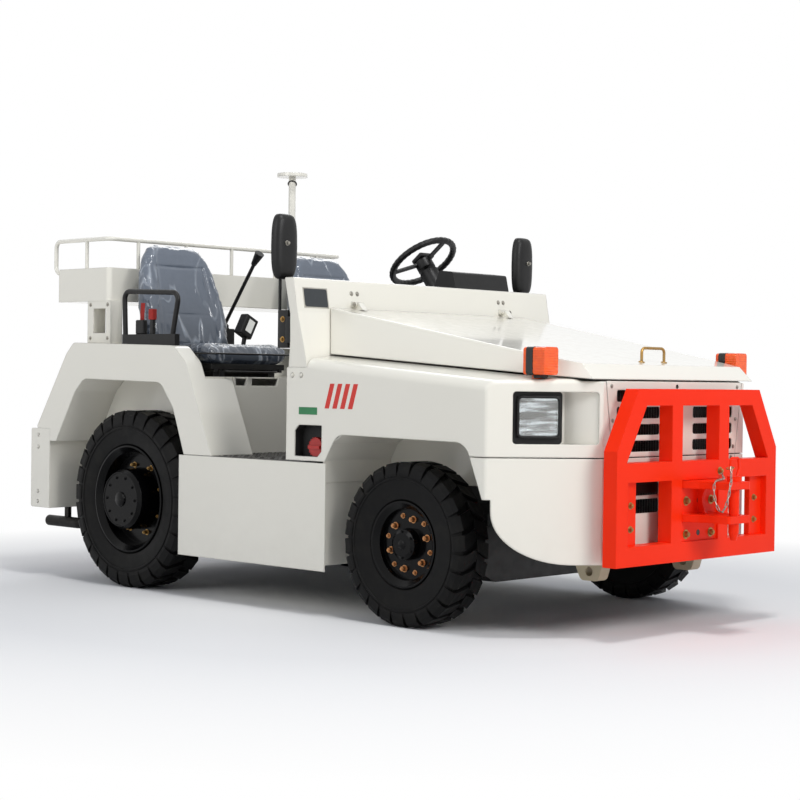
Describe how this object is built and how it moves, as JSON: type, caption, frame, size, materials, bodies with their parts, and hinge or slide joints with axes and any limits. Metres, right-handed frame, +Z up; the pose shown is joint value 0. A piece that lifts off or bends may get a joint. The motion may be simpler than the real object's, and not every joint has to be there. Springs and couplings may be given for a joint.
{
  "type": "airport baggage tug",
  "caption": "Open two-seat airport baggage tug with a tapered tilting hood, front push guard, tow hitches, rear luggage tray, turning wheels, steering and a beacon mast.",
  "frame": {"origin": "ground under the middle of the overall length, on the centre line", "axes": "+X forward, +Y to the driver's left, +Z up"},
  "size_m": [3.699, 1.732, 2.081],
  "materials": {
    "body_white": "gloss ivory white paint",
    "chassis_black": "satin black paint",
    "rim_black": "gloss black paint",
    "guard_red": "gloss orange red paint",
    "engine_grey": "dull painted casting",
    "radiator_black": "matt black",
    "floor_plate": "dark tread plate",
    "tyre_rubber": "matt rubber",
    "pin_steel": "zinc plated",
    "bright_steel": "plated",
    "trim_black": "satin black",
    "seat_vinyl": "blue grey vinyl under clear film",
    "lamp_amber": "clear amber",
    "lamp_red": "clear red",
    "lamp_clear": "ribbed clear lens",
    "exhaust_steel": "heat stained",
    "cap_red": "ribbed red"
  },
  "bodies": {
    "tug": {"chassis_frame": "chassis_black", "front_axle": "chassis_black", "rear_axle": "chassis_black", "engine_block": "engine_grey", "radiator": "radiator_black", "step_boxes": "body_white", "floor_plate": "floor_plate", "front_fenders": "body_white", "corner_panels": "body_white", "grille_panel": "body_white", "cowl": "body_white", "rear_fenders": "body_white", "rear_body": "body_white", "seat_base": "body_white", "front_guard": "guard_red", "front_hitch": "guard_red", "hitch_pin": "pin_steel", "rear_hitch": "guard_red", "rear_hitch_pin": "pin_steel", "luggage_tray": "body_white", "guard_rail": "body_white", "beacon_mast": "body_white", "seat_frames": "trim_black", "seat_cushions": "seat_vinyl", "seat_backs": "seat_vinyl", "arm_rests": "trim_black", "mirrors": "trim_black", "turn_signals": "lamp_amber", "headlight_housings": "trim_black", "headlight_lenses": "lamp_clear", "rear_lamps": "lamp_red", "exhaust_pipe": "exhaust_steel", "filler_cap": "cap_red", "hand_lever": "trim_black", "instrument_binnacle": "trim_black", "steering_column": "trim_black", "pedals": "trim_black"},
    "hood": {"hood": "body_white", "hood_handle": "bright_steel"},
    "steering_wheel": {"steering_wheel": "trim_black"},
    "knuckle_left": {"knuckle_left": "chassis_black"},
    "knuckle_right": {"knuckle_right": "chassis_black"},
    "wheel_front_left": {"tyre_front_left": "tyre_rubber", "rim_front_left": "rim_black"},
    "wheel_front_right": {"tyre_front_right": "tyre_rubber", "rim_front_right": "rim_black"},
    "wheel_rear_left": {"tyre_rear_left": "tyre_rubber", "rim_rear_left": "rim_black"},
    "wheel_rear_right": {"tyre_rear_right": "tyre_rubber", "rim_rear_right": "rim_black"}
  },
  "joints": [
    {"name": "hood_hinge", "type": "hinge", "parent": "tug", "child": "hood", "pos_m": [0.203, 0, 1.324], "axis": [0, -1, 0], "range_deg": [0, 60]},
    {"name": "steer_left", "type": "hinge", "parent": "tug", "child": "knuckle_left", "pos_m": [0.791, 0.65, 0.334], "axis": [0, 0, 1], "range_deg": [-35, 35]},
    {"name": "steer_right", "type": "hinge", "parent": "tug", "child": "knuckle_right", "pos_m": [0.791, -0.65, 0.334], "axis": [0, 0, 1], "range_deg": [-35, 35]},
    {"name": "steering_wheel_turn", "type": "hinge", "parent": "tug", "child": "steering_wheel", "pos_m": [-0.266, 0.415, 1.578], "axis": [-0.6088, 0, 0.7934], "range_deg": [-280, 280]},
    {"name": "roll_front_left", "type": "hinge", "parent": "knuckle_left", "child": "wheel_front_left", "pos_m": [0.791, 0.745, 0.334], "axis": [0, 1, 0], "continuous": true},
    {"name": "roll_front_right", "type": "hinge", "parent": "knuckle_right", "child": "wheel_front_right", "pos_m": [0.791, -0.745, 0.334], "axis": [0, 1, 0], "continuous": true},
    {"name": "roll_rear_left", "type": "hinge", "parent": "tug", "child": "wheel_rear_left", "pos_m": [-0.999, 0.728, 0.418], "axis": [0, 1, 0], "continuous": true},
    {"name": "roll_rear_right", "type": "hinge", "parent": "tug", "child": "wheel_rear_right", "pos_m": [-0.999, -0.728, 0.418], "axis": [0, 1, 0], "continuous": true}
  ],
  "couplings": [
    {"joint": "steer_right", "follows": "steer_left", "ratio": 1},
    {"joint": "steering_wheel_turn", "follows": "steer_left", "ratio": 8}
  ]
}
